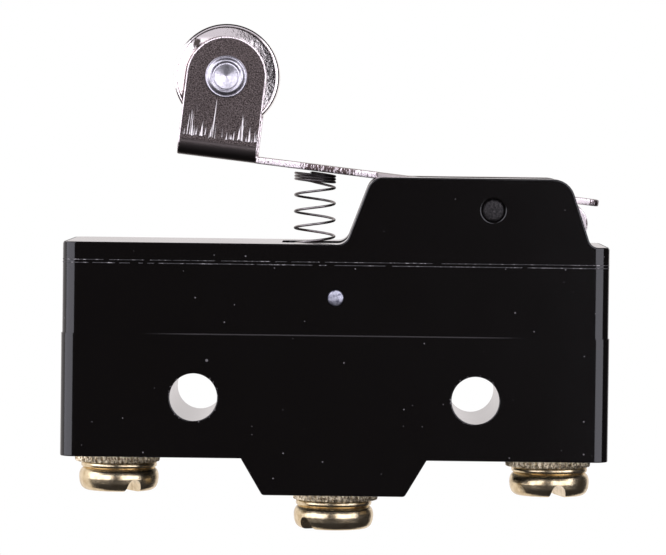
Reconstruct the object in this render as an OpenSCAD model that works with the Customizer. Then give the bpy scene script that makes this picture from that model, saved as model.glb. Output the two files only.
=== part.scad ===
// Snap-action switch in a moulded case, with a hinged roller lever above and three
// screw terminals below. X runs along the case, Y through it and Z up. The origin is
// midway between the two mounting holes, on the middle plane of the case.

/* [Case] */
// Length of the base
case_len = 49.45; // [48.8:0.05:56]
// Thickness of the case, front to back
case_thk = 17.45; // [16.8:0.05:20]
// Wall of the base around the mechanism
wall = 2.1; // [1.6:0.1:2.4]
// Radius on the upright corners
corner_r = 1.3; // [0.6:0.1:1.5]
// From the mounting holes down to the ends of the base
base_drop = 5.47; // [5:0.01:8]
// From the mounting holes up to the joint between base and cover
joint_h = 12; // [11.6:0.1:15]
// How far the upper half of the base and the cover stand in from the lower half
mould_step = 0.08; // [0.02:0.01:0.2]
// From the mounting holes up to that step
step_h = 5.66; // [3:0.01:9]
// How far the middle block reaches below the ends
block_drop = 3.29; // [2.6:0.01:5]
// Width of the middle block at its root
block_top = 16.73; // [14:0.01:20]
// Width of the middle block at its foot
block_foot = 12.84; // [10:0.01:13.8]

/* [Mounting holes] */
// Distance between the two mounting holes
hole_pitch = 25.4; // [24.6:0.1:26.2]
// Diameter of the mounting holes
hole_d = 4.3; // [3.2:0.1:4.6]
// Material between the mounting holes and the mechanism
hole_cover = 1.7; // [1.2:0.1:2]

/* [Cover] */
// Thickness of the cover at its ends
cover_h = 1.9; // [1.8:0.1:3]
// Depth of the cover's plug inside the base
plug_d = 0.9; // [0.6:0.1:1]
// Gap between the plug and the base
plug_gap = 0.05; // [0.02:0.01:0.1]
// Depth of the spring's pocket below the top of the cover
pocket_d = 1.6; // [1.3:0.05:1.75]
// Where the spring's pocket starts at the left
pocket_x = -5; // [-7:0.1:-4.5]
// Height of the ears above the ends of the cover
ear_h = 6.1; // [5.8:0.1:7]
// Width of the channel between the ears
channel_w = 7.6; // [7.2:0.1:9]
// From the lever's pivot left to the top of the ears
ear_left = 10.95; // [9:0.05:12]
// From the lever's pivot right to the top of the ears
ear_right = 6.8; // [5.5:0.05:7.5]
// How far the left edge of the ears leans out by their foot
lean_left = 2.3; // [1:0.05:3]
// How far the right edge of the ears leans out by their foot
lean_right = 2.03; // [0.5:0.05:2.2]

/* [Lever] */
// Where the lever's pivot stands along the case
pivot_x = 14.1; // [13.5:0.1:14.4]
// Height of the pivot above the ends of the cover
pivot_h = 3.24; // [3:0.02:4]
// Diameter of the pivot pin
pivot_d = 2.1; // [1.5:0.1:2.6]
// Thickness of the lever's sheet
sheet = 0.6; // [0.4:0.05:0.8]
// Width of the lever over its folded sides
lever_w = 6.8; // [6.4:0.1:7]
// Slope of the lever at rest, down to the right, in degrees
lever_slope = 6.5; // [5:0.1:7]
// Height of the lever's underside above the pivot
web_h = 1.44; // [1.35:0.01:2]
// From the pivot to the roller's axle, along the lever
roller_reach = 25.5; // [24:0.1:30]
// Height of the roller's axle above the lever's underside
axle_h = 7.53; // [6.4:0.01:9]
// Width of the two plates that hold the roller
plate_w = 7.3; // [6.2:0.1:9]
// Radius on the outside of the lever's folds
fold_r = 1.3; // [0.9:0.05:1.5]
// From the pivot left to the start of the cheeks
cheek_left = 10.8; // [8:0.1:12]
// Radius of the cheeks' round end, which rests on the cover
cheek_r = 1.95; // [1.7:0.05:2.1]
// From the pivot right to the middle of that round end
cheek_right = 6.9; // [6:0.1:7.2]
// From the pivot right to the lever's tail
tail = 9.72; // [9.2:0.02:11]
// Radius on the corners of the tail
tail_r = 1.2; // [0.5:0.1:1.6]

/* [Roller] */
// Diameter of the roller
roller_d = 9.5; // [8:0.1:11]
// Width of the roller
roller_w = 4.8; // [4:0.1:5.2]
// Diameter of the rivet that the roller turns on
axle_d = 2.4; // [1.8:0.1:3]
// Diameter of the rivet's heads
rivet_head_d = 3.85; // [3.4:0.05:4.8]
// Height of the rivet's heads
rivet_head_h = 0.55; // [0.3:0.05:0.8]

/* [Lever spring and plunger] */
// Where the plunger and its spring stand along the case
plunger_x = -2.05; // [-2.4:0.05:-1.95]
// Outside diameter of the spring
spring_d = 3.86; // [3.4:0.02:4.4]
// Diameter of the spring's wire
wire_d = 0.21; // [0.15:0.01:0.3]
// Number of open turns
open_turns = 4.2; // [3:0.1:5]
// Number of closed turns under the lever
closed_turns = 3; // [1:0.5:4]
// Diameter of the plunger's stem
stem_d = 1.7; // [1.2:0.1:1.8]
// Diameter of the plunger's collar, under the spring
collar_d = 4.4; // [4.4:0.1:5]
// Thickness of the plunger's collar
collar_h = 0.4; // [0.3:0.05:0.6]
// Travel of the plunger
plunger_travel = 0.5; // [0.3:0.05:0.6]

/* [Snap mechanism] */
// Thickness of the terminals' strips
strip_t = 0.9; // [0.7:0.05:1]
// Thickness of the snap blade
blade_t = 0.25; // [0.15:0.05:0.3]
// Width of the snap blade
blade_w = 6.6; // [6:0.1:7]
// Width of the blade's middle tongue
tongue_w = 2; // [1.4:0.1:2.4]
// Slot on either side of the middle tongue
tongue_slot = 0.8; // [0.5:0.1:1]
// From the common terminal's screw in to the blade's rivet
clamp_inset = 1.6; // [1.2:0.1:2]
// From the blade's rivet to the moving contact's end of its legs' notches
notch_reach = 8.7; // [8.4:0.1:9.6]
// Height of those notches above the floor
notch_h = 1.65; // [1.6:0.05:2]
// From the moving contact back to the root of the legs
head_len = 4.2; // [3.6:0.1:4.8]
// From the moving contact out to the end of the blade
head_end = 2.3; // [2:0.1:2.4]
// How far the blade's outer legs bow down
leg_bow = 0.9; // [0.6:0.05:1]
// Gap between the moving contact and the lower contact at rest
contact_gap = 0.52; // [0.4:0.02:0.6]
// Diameter of the contacts
contact_d = 3.2; // [2.6:0.1:3.8]
// Height of the fixed contacts
contact_h = 1.1; // [0.9:0.05:1.2]
// Height of each head of the moving contact
head_h = 0.9; // [0.7:0.05:1]
// From the terminal screws inwards to the contacts
contact_inset = 2.6; // [2.2:0.1:3.4]
// Height of the cover's pin above the blade
pin_rise = 1.55; // [1.3:0.05:1.7]
// Diameter of the cover's pin
pin_d = 1.5; // [1:0.1:1.6]

/* [Terminals] */
// From each end of the base in to its terminal screw
screw_inset = 4.92; // [4.9:0.02:5.2]
// Diameter of the screws' threads
thread_d = 4; // [3:0.1:4.1]
// Diameter of the screws' heads
screw_head_d = 7.33; // [6:0.01:7.6]
// Height of the screws' heads
screw_head_h = 2.45; // [2:0.05:3]
// Width of the slot in the screws' heads
slot_w = 1.5; // [0.9:0.05:1.8]
// Depth of the slot in the screws' heads
slot_d = 1.2; // [0.8:0.05:1.4]
// How far each screw's slot is turned: common, normally open, normally closed
slot_turn = [27, -47, 12];
// Diameter over the teeth of the washers
washer_d = 7.77; // [7.7:0.01:8.2]
// Thickness of the toothed washers
washer_t = 0.7; // [0.4:0.05:1]
// Thickness of the plain collar under each screw's head
under_head = 0.4; // [0.3:0.05:0.6]
// Number of teeth on a washer
teeth = 40; // [24:1:60]
// Thickness of the terminals' foot plates
foot_t = 1.4; // [1:0.1:1.8]
// Width of the terminals' foot plates
foot_w = 6.4; // [5.8:0.1:6.6]

/* [Hidden] */

$fn = 64;
arc_steps = 6;
cut = 1;                 // how far a cutting shape runs past the face that it opens
touch = 0.02;            // between faces that rest on each other
run_gap = 0.05;          // around anything that turns or slides in a hole
press_gap = 0.02;        // around anything pressed or moulded in
hinge_gap = 0.08;        // around the pivot pin in the lever's cheeks

// Heights of the case
shelf_z = joint_h + cover_h;
ear_top = shelf_z + ear_h;
pocket_z = shelf_z - pocket_d;
deck_z = joint_h - plug_d;
block_z = -base_drop - block_drop;
floor_z = hole_d / 2 + hole_cover;
cavity_x = case_len / 2 - wall;
cavity_y = case_thk / 2 - wall;

// The stack of contacts, from the cavity's floor up
open_z = floor_z + touch + strip_t;
blade_z = open_z + contact_h + contact_gap + head_h;
blade_top = blade_z + blade_t;
closed_z = blade_top + head_h + touch + contact_h;
pin_z = blade_top + pin_rise;
pin_x = 0;
guide_z = pin_z + pin_d / 2 + 0.3;

// Terminals
screw_x = case_len / 2 - screw_inset;
end_skin = 1.7;
leg_x = case_len / 2 - end_skin;
leg_w = 5;
clamp_x = -screw_x + clamp_inset;
contact_x = screw_x - contact_inset;
open_leg_x = 3.9;
screw_tip = 4.4;         // how far the screws reach into their terminals
screw_slack = 0.3;       // beyond the screws' tips
contact_shank_r = 0.8;

// Snap blade: the root of its legs, and the notches that their tips press into
head_x = contact_x - head_len;
notch_x = clamp_x + notch_reach;
notch_z = floor_z + notch_h;
notch_half = 0.5;
pad_back = 2.4;          // how far the blade's pad runs past its rivet
pad_r = 0.6;
arm_x0 = clamp_x + 2.2;  // where the common terminal turns down to the notches
leg_inner = tongue_w / 2 + tongue_slot;
leg_points = 24;

// Pivot, lever and plunger
pivot_z = shelf_z + pivot_h;
axle_z = web_h + axle_h;
cheek_z = (shelf_z + touch + cheek_r - pivot_z + cheek_right * sin(lever_slope)) / cos(lever_slope);
pin_recess = 0.35;
collar_z = pocket_z + plunger_travel + run_gap;
spring_foot = collar_z + collar_h;

// Helpers ------------------------------------------------------------------------

function unit(v) = v / norm(v);
function xy(p) = [p[0], p[1]];

// One corner p of an outline, between a and b, as the points of an arc of radius r
function corner_arc(a, p, b, r) = r == 0 ? [p] :
    let (u = unit(a - p), v = unit(b - p), half = acos(u * v) / 2,
         centre = p + unit(u + v) * r / sin(half),
         from = p + u * r / tan(half) - centre,
         to = p + v * r / tan(half) - centre,
         sweep = atan2(from[0] * to[1] - from[1] * to[0], from * to))
    [for (i = [0:arc_steps]) let (t = sweep * i / arc_steps)
        centre + [from[0] * cos(t) - from[1] * sin(t), from[0] * sin(t) + from[1] * cos(t)]];

// An outline of [x, y, radius] corners, with each corner rounded to its radius
function rounded(corners) = let (n = len(corners)) [for (i = [0:n - 1])
    each corner_arc(xy(corners[(i + n - 1) % n]), xy(corners[i]), xy(corners[(i + 1) % n]), corners[i][2])];

// An X-Z outline extruded through Y, centred on the middle plane
module across(w) {
    rotate([90, 0, 0]) linear_extrude(w, center = true) children();
}

// A box between two X and two Z values, centred on the middle plane
module block(x0, x1, z0, z1, w) {
    translate([x0, -w / 2, z0]) cube([x1 - x0, w, z1 - z0]);
}

// A round bar or hole through Y
module rod(x, z, r, w) {
    translate([x, 0, z]) rotate([90, 0, 0]) cylinder(h = w, r = r, center = true);
}

// An upright slab with rounded corners
module slab(len, thk, z0, z1, r) {
    translate([0, 0, z0]) linear_extrude(z1 - z0)
        polygon(rounded([for (s = [[-1, -1], [1, -1], [1, 1], [-1, 1]]) [s[0] * len / 2, s[1] * thk / 2, r]]));
}

// Both of two parts that mirror each other through the middle plane
module both_sides() {
    for (side = [-1, 1]) scale([1, side, 1]) children();
}

// Case ---------------------------------------------------------------------------

// Deep moulded tray that holds the terminals and the mechanism
module base() {
    color([0.06, 0.055, 0.055]) difference() {
        union() {
            slab(case_len, case_thk, -base_drop, step_h, corner_r);
            slab(case_len - 2 * mould_step, case_thk - 2 * mould_step, step_h - cut, joint_h, corner_r);
            across(case_thk) polygon(rounded([
                [-block_top / 2, -base_drop, 0], [-block_foot / 2, block_z, 0.35],
                [block_foot / 2, block_z, 0.35], [block_top / 2, -base_drop, 0],
                [block_top / 2, 0, 0], [-block_top / 2, 0, 0]]));
        }
        slab(2 * cavity_x, 2 * cavity_y, floor_z, joint_h + cut, 0.8);
        for (side = [-1, 1]) rod(side * hole_pitch / 2, 0, hole_d / 2, case_thk + 2 * cut);
        rod(pin_x, pin_z, pin_d / 2 + press_gap, case_thk + 2 * cut);
        mirror([1, 0, 0]) end_terminal(blade_z, press_gap);
        end_terminal(closed_z, press_gap);
        middle_terminal(press_gap);
        for (at = screw_seats()) screw_hole(at);
    }
}

// Where each screw goes: its X and the level of its foot plate's face
function screw_seats() = [[-screw_x, -base_drop], [0, block_z], [screw_x, -base_drop]];

// Clearance in the case beyond a terminal's thread
module screw_hole(at) {
    translate([at[0], 0, at[1]])
        cylinder(h = screw_tip + screw_slack, r = thread_d / 2 + run_gap);
}

// Outline of the cover from the front: two flat ends and the ears between them
function cover_outline() = let (end_x = case_len / 2 - mould_step) rounded([
    [-end_x, joint_h, 0], [-end_x, shelf_z, 0.25],
    [pivot_x - ear_left - lean_left, shelf_z, 1.1], [pivot_x - ear_left, ear_top, 1.5],
    [pivot_x + ear_right, ear_top, 2], [pivot_x + ear_right + lean_right, shelf_z, 0.9],
    [end_x, shelf_z, 0.25], [end_x, joint_h, 0]]);

// Lid that closes the base, guides the plunger and carries the lever between two ears
module cover() {
    leg_in = 1.6;
    leg_half = 2.6;
    color([0.065, 0.06, 0.06]) difference() {
        union() {
            intersection() {
                across(case_thk) polygon(cover_outline());
                slab(case_len - 2 * mould_step, case_thk - 2 * mould_step, joint_h, ear_top, corner_r);
            }
            slab(2 * (cavity_x - plug_gap), 2 * (cavity_y - plug_gap), deck_z, joint_h + 0.5, 0.8);
            // boss that guides the plunger
            translate([plunger_x, 0, min(guide_z, deck_z)])
                cylinder(h = joint_h - min(guide_z, deck_z), r = stem_d / 2 + 1.1);
            // two legs beside the blade, which the cover's pin goes through
            both_sides() translate([pin_x - leg_half, cavity_y - plug_gap - leg_in, pin_z - pin_d / 2 - 1.1])
                cube([2 * leg_half, leg_in, joint_h - pin_z + pin_d / 2 + 1.1]);
        }
        // channel between the ears, open at both ends and on top
        block(pivot_x - ear_left - lean_left - 4, case_len / 2 + cut, shelf_z, ear_top + cut, channel_w);
        // pocket under the spring
        translate([0, 0, pocket_z]) linear_extrude(pocket_d + cut) polygon(rounded([
            [pocket_x, -channel_w / 2, 0.8], [pivot_x - ear_left + 3, -channel_w / 2, 0.8],
            [pivot_x - ear_left + 3, channel_w / 2, 0.8], [pocket_x, channel_w / 2, 0.8]]));
        translate([plunger_x, 0, 0]) cylinder(h = ear_top, r = stem_d / 2 + run_gap);
        rod(pivot_x, pivot_z, pivot_d / 2 + press_gap, case_thk + 2 * cut);
        rod(pin_x, pin_z, pin_d / 2 + press_gap, case_thk + 2 * cut);
    }
}

// Steel pin that holds the cover in the base
module cover_pin() {
    color([0.7, 0.71, 0.75]) rod(pin_x, pin_z, pin_d / 2, case_thk - 2 * mould_step - 0.04);
}

// Dark steel pin that the lever swings on, with chamfered ends
module pivot_pin() {
    half = case_thk / 2 - mould_step - pin_recess;
    r = pivot_d / 2;
    color([0.2, 0.18, 0.18]) translate([pivot_x, 0, pivot_z]) rotate([90, 0, 0]) rotate_extrude()
        polygon([[0, -half], [r - 0.15, -half], [r, -half + 0.15], [r, half - 0.15], [r - 0.15, half], [0, half]]);
}

// Lever and roller ---------------------------------------------------------------

// Puts a part drawn about the pivot, with the lever level, in its place at rest
module on_lever() {
    translate([pivot_x, 0, pivot_z]) rotate([0, lever_slope, 0]) children();
}

// Sheet folded to a channel: its end view is a U with its web at web_h, that opens
// up or down, run along X and trimmed to the side view given as a child
module folded(x0, x1, reach, up) {
    y = lever_w / 2;
    s = up ? 1 : -1;
    foot = up ? web_h : web_h + sheet;
    intersection() {
        translate([x0, 0, 0]) rotate([90, 0, 90]) linear_extrude(x1 - x0) polygon(rounded([
            [-y, reach, 0], [-y, foot, fold_r], [y, foot, fold_r], [y, reach, 0],
            [y - sheet, reach, 0], [y - sheet, foot + s * sheet, fold_r - sheet],
            [-y + sheet, foot + s * sheet, fold_r - sheet], [-y + sheet, reach, 0]]));
        across(lever_w + 2 * cut) children();
    }
}

// Lever folded from one strip of sheet: roller plates up at the left, cheeks down
// around the pivot, and a flat tail at the right
module lever() {
    plate_x0 = -roller_reach - plate_w / 2;
    plate_x1 = plate_x0 + plate_w;
    run = -cheek_left - plate_x1;
    flat = lever_w / 2 - fold_r;
    lap = 0.8 * flat;
    color([0.36, 0.31, 0.3]) on_lever() difference() {
        union() {
            // flat run between the plates and the cheeks, which reaches into both, and the tail
            translate([0, 0, web_h]) linear_extrude(sheet) {
                translate([plate_x1, -lever_w / 2]) square([run, lever_w]);
                translate([plate_x1 - lap, -flat]) square([run + 2 * lap, 2 * flat]);
                polygon(rounded([[cheek_right - lap, -flat, 0], [tail, -flat, tail_r],
                    [tail, flat, tail_r], [cheek_right - lap, flat, 0]]));
            }
            // plates on either side of the roller
            folded(plate_x0, plate_x1, axle_z + plate_w, true) {
                translate([plate_x0, 0]) square([plate_w, axle_z]);
                translate([-roller_reach, axle_z]) circle(r = plate_w / 2);
            }
            // cheeks between the ears of the cover
            folded(-cheek_left, cheek_right + cheek_r, -web_h - 2 * cheek_r - cut, false) hull() {
                translate([-cheek_left, web_h - 0.6]) square([cut, sheet + 0.6]);
                circle(r = pivot_d / 2 + 1.25, $fn = 32);
                translate([cheek_right, cheek_z]) circle(r = cheek_r, $fn = 32);
                translate([cheek_right - cut, web_h]) square([cut, sheet]);
            }
        }
        rod(-roller_reach, axle_z, axle_d / 2 + press_gap, lever_w + 2 * cut);
        rod(0, 0, pivot_d / 2 + hinge_gap, lever_w + 2 * cut);
    }
}

// Steel roller with broken edges and shallow dished sides
module roller() {
    r = roller_d / 2;
    half = roller_w / 2;
    bore = axle_d / 2 + run_gap;
    dish = 0.25;
    color([0.72, 0.69, 0.67]) on_lever() translate([-roller_reach, 0, axle_z]) rotate([90, 0, 0]) rotate_extrude()
        polygon([[bore, -half], [bore + 0.8, -half], [bore + 1.1, -half + dish], [r - 1, -half + dish],
            [r - 0.7, -half], [r - 0.35, -half], [r, -half + 0.35], [r, half - 0.35], [r - 0.35, half],
            [r - 0.7, half], [r - 1, half - dish], [bore + 1.1, half - dish], [bore + 0.8, half], [bore, half]]);
}

// Rivet through the plates, with a dished head on each side
module roller_axle() {
    half = lever_w / 2;
    face = half + touch;
    r = rivet_head_d / 2;
    h = rivet_head_h;
    rim = 0.64 * r;
    side = [[axle_d / 2, face], [r, face], [r, face + 0.35 * h], [r - 0.25, face + 0.8 * h],
        [rim + 0.15, face + h], [rim, face + h], [rim - 0.1, face + 0.75 * h], [0, face + 0.3 * h]];
    color([0.7, 0.72, 0.78]) on_lever() translate([-roller_reach, 0, axle_z]) rotate([90, 0, 0]) rotate_extrude()
        polygon(concat(side, [for (i = [len(side) - 1:-1:0]) [side[i][0], -side[i][1]]]));
}

// Spring and plunger -------------------------------------------------------------

// Height of the lever's underside over a point x along the case, at rest
function underside(x) = pivot_z + (web_h - (x - pivot_x) * sin(lever_slope)) / cos(lever_slope);

// Lever spring: one closed turn on the plunger, open turns, then closed turns that
// lie square to the sloping lever. The wire's centre at turn t, counted from the foot.
spring_r = (spring_d - wire_d) / 2;
closed_pitch = wire_d + 0.03;
all_turns = 1 + open_turns + closed_turns;
wire_start = 180;        // the wire's foot is at the left
spring_rise = underside(plunger_x) - spring_foot - wire_d - 3 * touch;
open_rise = spring_rise - closed_pitch * (1 + closed_turns);
function turn_height(t) = spring_foot + wire_d / 2 + touch
    + closed_pitch * (min(t, 1) + max(0, t - 1 - open_turns))
    + open_rise * max(0, min(1, (t - 1) / open_turns));
function turn_tilt(t) = tan(lever_slope) * max(0, min(1, (t - 1) / open_turns));
function wire_centre(t) = let (a = 360 * t + wire_start)
    [plunger_x + spring_r * cos(a), spring_r * sin(a), turn_height(t) - turn_tilt(t) * spring_r * cos(a)];

module lever_spring() {
    sides = 6;
    rings = round(all_turns * 16);
    color([0.22, 0.2, 0.2]) polyhedron(
        points = [for (i = [0:rings]) let (t = all_turns * i / rings, a = 360 * t + wire_start, c = wire_centre(t))
            for (j = [0:sides - 1]) let (b = 360 * j / sides)
                c + wire_d / 2 * [cos(b) * cos(a), cos(b) * sin(a), sin(b)]],
        faces = concat(
            [[for (j = [0:sides - 1]) j]],
            [for (i = [0:rings - 1], j = [0:sides - 1]) let (k = (j + 1) % sides)
                each [[i * sides + j, (i + 1) * sides + k, i * sides + k],
                      [i * sides + j, (i + 1) * sides + j, (i + 1) * sides + k]]],
            [[for (j = [sides - 1:-1:0]) rings * sides + j]]));
}

// Plunger: a stem in the cover's guide, a collar under the spring and a spigot inside it
module plunger() {
    spigot_r = spring_r - wire_d / 2 - 0.25;
    spigot_h = min(0.5, shelf_z - spring_foot - 0.05);
    color([0.55, 0.12, 0.08]) translate([plunger_x, 0, 0]) rotate_extrude() polygon([
        [0, blade_top + touch], [stem_d / 2 - 0.3, blade_top + touch], [stem_d / 2, blade_top + touch + 0.3],
        [stem_d / 2, collar_z], [collar_d / 2, collar_z], [collar_d / 2, spring_foot],
        [spigot_r, spring_foot], [spigot_r - 0.2, spring_foot + spigot_h], [0, spring_foot + spigot_h]]);
}

// Snap mechanism -----------------------------------------------------------------

// Snap blade, one strip of spring sheet: a pad riveted to the common terminal, a
// middle tongue, a head with the moving contact, and two bowed legs cut from beside
// the tongue, whose tips press into the terminal's notches
module snap_blade() {
    tip = [notch_x + blade_t / 2 + 4 * touch, notch_z];
    root = [head_x, blade_z + blade_t / 2];
    centre_line = [for (i = [0:leg_points]) let (s = i / leg_points)
        root + s * (tip - root) - [0, 4 * leg_bow * s * (1 - s)]];
    half = [0, blade_t / 2];
    color([0.75, 0.5, 0.3]) difference() {
        union() {
            translate([0, 0, blade_z]) linear_extrude(blade_t) {
                polygon(rounded([[clamp_x - pad_back, -leg_w / 2, pad_r], [arm_x0 + pad_r, -leg_w / 2, pad_r],
                    [arm_x0 + pad_r, leg_w / 2, pad_r], [clamp_x - pad_back, leg_w / 2, pad_r]]));
                translate([clamp_x, -tongue_w / 2]) square([head_x - clamp_x + cut, tongue_w]);
                polygon(rounded([[head_x, -blade_w / 2, 0], [contact_x + head_end, -blade_w / 2, 1.2],
                    [contact_x + head_end, blade_w / 2, 1.2], [head_x, blade_w / 2, 0]]));
            }
            both_sides() translate([0, (leg_inner + blade_w / 2) / 2, 0]) across(blade_w / 2 - leg_inner)
                polygon(concat([for (p = centre_line) p + half],
                    [for (i = [leg_points:-1:0]) centre_line[i] - half]));
        }
        for (x = [clamp_x, contact_x]) translate([x, 0, blade_z - cut])
            cylinder(h = blade_t + 2 * cut, r = contact_shank_r + press_gap);
    }
}

// Rivet that clamps the blade's pad to the common terminal
module blade_rivet() {
    r = contact_shank_r;
    under = blade_z - touch - strip_t;
    color([0.78, 0.62, 0.35]) translate([clamp_x, 0, 0]) rotate_extrude() polygon([
        [0, under - 0.5], [r + 0.4, under - 0.5], [r + 0.5, under - touch], [r, under - touch],
        [r, blade_top + touch], [r + 0.5, blade_top + touch], [r + 0.4, blade_top + 0.55], [0, blade_top + 0.55]]);
}

// Outline of a contact button: a disc with a slightly crowned face, drawn upwards
function button(z, h) = let (r = contact_d / 2, s = sign(h))
    [[0, z], [r, z], [r, z + h - 0.25 * s], [r - 0.3, z + h - 0.08 * s], [0, z + h]];

// Moving contact: a rivet through the blade's head, with a crowned face on each side
module moving_contact() {
    face = contact_d / 2;
    shank = contact_shank_r;
    side = [[shank, 0], [shank, blade_t / 2 + touch], [face, blade_t / 2 + touch],
        [face, blade_t / 2 + head_h - 0.25], [face - 0.3, blade_t / 2 + head_h - 0.08], [0, blade_t / 2 + head_h]];
    color([0.85, 0.85, 0.83]) translate([contact_x, 0, blade_z + blade_t / 2]) rotate_extrude()
        polygon(concat(side, [for (i = [len(side) - 1:-1:1]) [side[i][0], -side[i][1]]]));
}

// Lower fixed contact, on the normally open terminal
module open_contact() {
    color([0.85, 0.85, 0.83]) translate([contact_x, 0, 0]) rotate_extrude() polygon(button(open_z, contact_h));
}

// Upper fixed contact, under the normally closed terminal
module closed_contact() {
    color([0.85, 0.85, 0.83]) translate([contact_x, 0, 0]) rotate_extrude() polygon(button(closed_z, -contact_h));
}

// Terminals ----------------------------------------------------------------------

// Foot plate and upright leg at the right end, grown by g on every side to cut its
// seat in the base
module end_terminal(top, g = 0) {
    under = g > 0 ? cut : 0;
    block(screw_x - foot_w / 2 - g, leg_x + g, -base_drop - under, -base_drop + foot_t + g, foot_w + 2 * g);
    block(leg_x - strip_t - g, leg_x + g, -base_drop, top + (g > 0 ? cut : 0), leg_w + 2 * g);
}

// Foot plate under the middle block, its upright leg and the strip along the floor
module middle_terminal(g = 0) {
    under = g > 0 ? cut : 0;
    block(-foot_w / 2 - g, open_leg_x + g, block_z - under, block_z + foot_t + g, foot_w + 2 * g);
    block(open_leg_x - strip_t - g, open_leg_x + g, block_z, open_z + (g > 0 ? cut : 0), 3 + 2 * g);
}

// Threaded hole through a foot plate
module plate_hole(at) {
    translate([at[0], 0, at[1] - cut]) cylinder(h = foot_t + 2 * cut, r = thread_d / 2 + press_gap);
}

// Common terminal, with the anchor that carries the snap blade
module common_terminal() {
    top = blade_z - touch;
    arm_w = blade_w / 2 - leg_inner + 0.3;
    lip_x = notch_x + notch_half;
    color([0.8, 0.62, 0.3]) difference() {
        union() {
            mirror([1, 0, 0]) end_terminal(top);
            block(-leg_x, arm_x0 + 1, top - strip_t, top, leg_w);
            both_sides() translate([0, leg_inner - 0.3 + arm_w / 2, 0]) across(arm_w) polygon([
                [arm_x0, floor_z + touch], [lip_x, floor_z + touch], [lip_x, notch_z - notch_half],
                [notch_x, notch_z], [lip_x, notch_z + notch_half], [lip_x, notch_z + 2 * notch_half],
                [arm_x0 + 2, top], [arm_x0, top]]);
        }
        plate_hole(screw_seats()[0]);
        translate([clamp_x, 0, top - strip_t - cut])
            cylinder(h = strip_t + 2 * cut, r = contact_shank_r + press_gap);
    }
}

// Normally open terminal, from the middle screw to the lower contact
module open_terminal() {
    color([0.8, 0.62, 0.3]) difference() {
        union() {
            middle_terminal();
            block(open_leg_x - strip_t, contact_x + contact_d / 2 + 0.4, floor_z + touch, open_z, 3);
            block(contact_x - 2.2, contact_x + contact_d / 2 + 0.4, floor_z + touch, open_z, contact_d + 1);
        }
        plate_hole(screw_seats()[1]);
    }
}

// Normally closed terminal, from the right screw over to the upper contact
module closed_terminal() {
    color([0.8, 0.62, 0.3]) difference() {
        union() {
            end_terminal(closed_z + strip_t);
            block(contact_x - contact_d / 2 - 0.4, leg_x, closed_z, closed_z + strip_t, leg_w);
        }
        plate_hole(screw_seats()[2]);
    }
}

// Screws and washers -------------------------------------------------------------

// Pan-head terminal screw, standing below the face of its foot plate
module terminal_screw(i) {
    at = screw_seats()[i];
    r = screw_head_d / 2;
    top = -washer_t - 2 * touch;
    under = top - under_head;
    low = top - screw_head_h - under_head;
    rim = 1.1;
    color([0.83, 0.68, 0.36]) translate([at[0], 0, at[1]]) rotate([0, 0, slot_turn[i]]) difference() {
        rotate_extrude() polygon(concat(
            [[0, low - 0.12]],
            [for (i = [0:arc_steps]) let (a = -90 + 90 * i / arc_steps)
                [r - rim + rim * cos(a), low + rim + rim * sin(a)]],
            [[r, under - 0.5], [r - 0.22, under], [r - 0.1, under - touch], [r - 0.1, top],
             [thread_d / 2, top], [thread_d / 2, screw_tip - 0.4], [thread_d / 2 - 0.4, screw_tip], [0, screw_tip]]));
        // slot: straight sides that lean together and a round bottom
        rotate([90, 0, 0]) linear_extrude(screw_head_d + 2 * cut, center = true) {
            translate([0, low + slot_d - 0.35 * slot_w]) circle(r = 0.35 * slot_w);
            polygon([[-slot_w / 2, low - cut], [slot_w / 2, low - cut],
                [0.35 * slot_w, low + slot_d - 0.35 * slot_w], [-0.35 * slot_w, low + slot_d - 0.35 * slot_w]]);
        }
    }
}

// Washer with teeth around its rim, between a foot plate and its screw
module toothed_washer(i) {
    at = screw_seats()[i];
    r = washer_d / 2;
    depth = 0.16;
    color([0.8, 0.66, 0.38]) translate([at[0], 0, at[1] - touch - washer_t]) linear_extrude(washer_t) difference() {
        polygon([for (k = [0:2 * teeth - 1]) let (a = 180 * k / teeth, q = r - depth * (k % 2)) q * [cos(a), sin(a)]]);
        circle(r = thread_d / 2 + run_gap);
    }
}

module common_screw() { terminal_screw(0); }
module open_screw() { terminal_screw(1); }
module closed_screw() { terminal_screw(2); }
module common_washer() { toothed_washer(0); }
module open_washer() { toothed_washer(1); }
module closed_washer() { toothed_washer(2); }

base();
cover();
cover_pin();
pivot_pin();
lever();
roller();
roller_axle();
lever_spring();
plunger();
snap_blade();
blade_rivet();
moving_contact();
common_terminal();
open_terminal();
closed_terminal();
open_contact();
closed_contact();
common_screw();
open_screw();
closed_screw();
common_washer();
open_washer();
closed_washer();
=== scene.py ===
import math

import bmesh
import bpy
import numpy as np
from mathutils import Matrix, Quaternion, Vector


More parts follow.
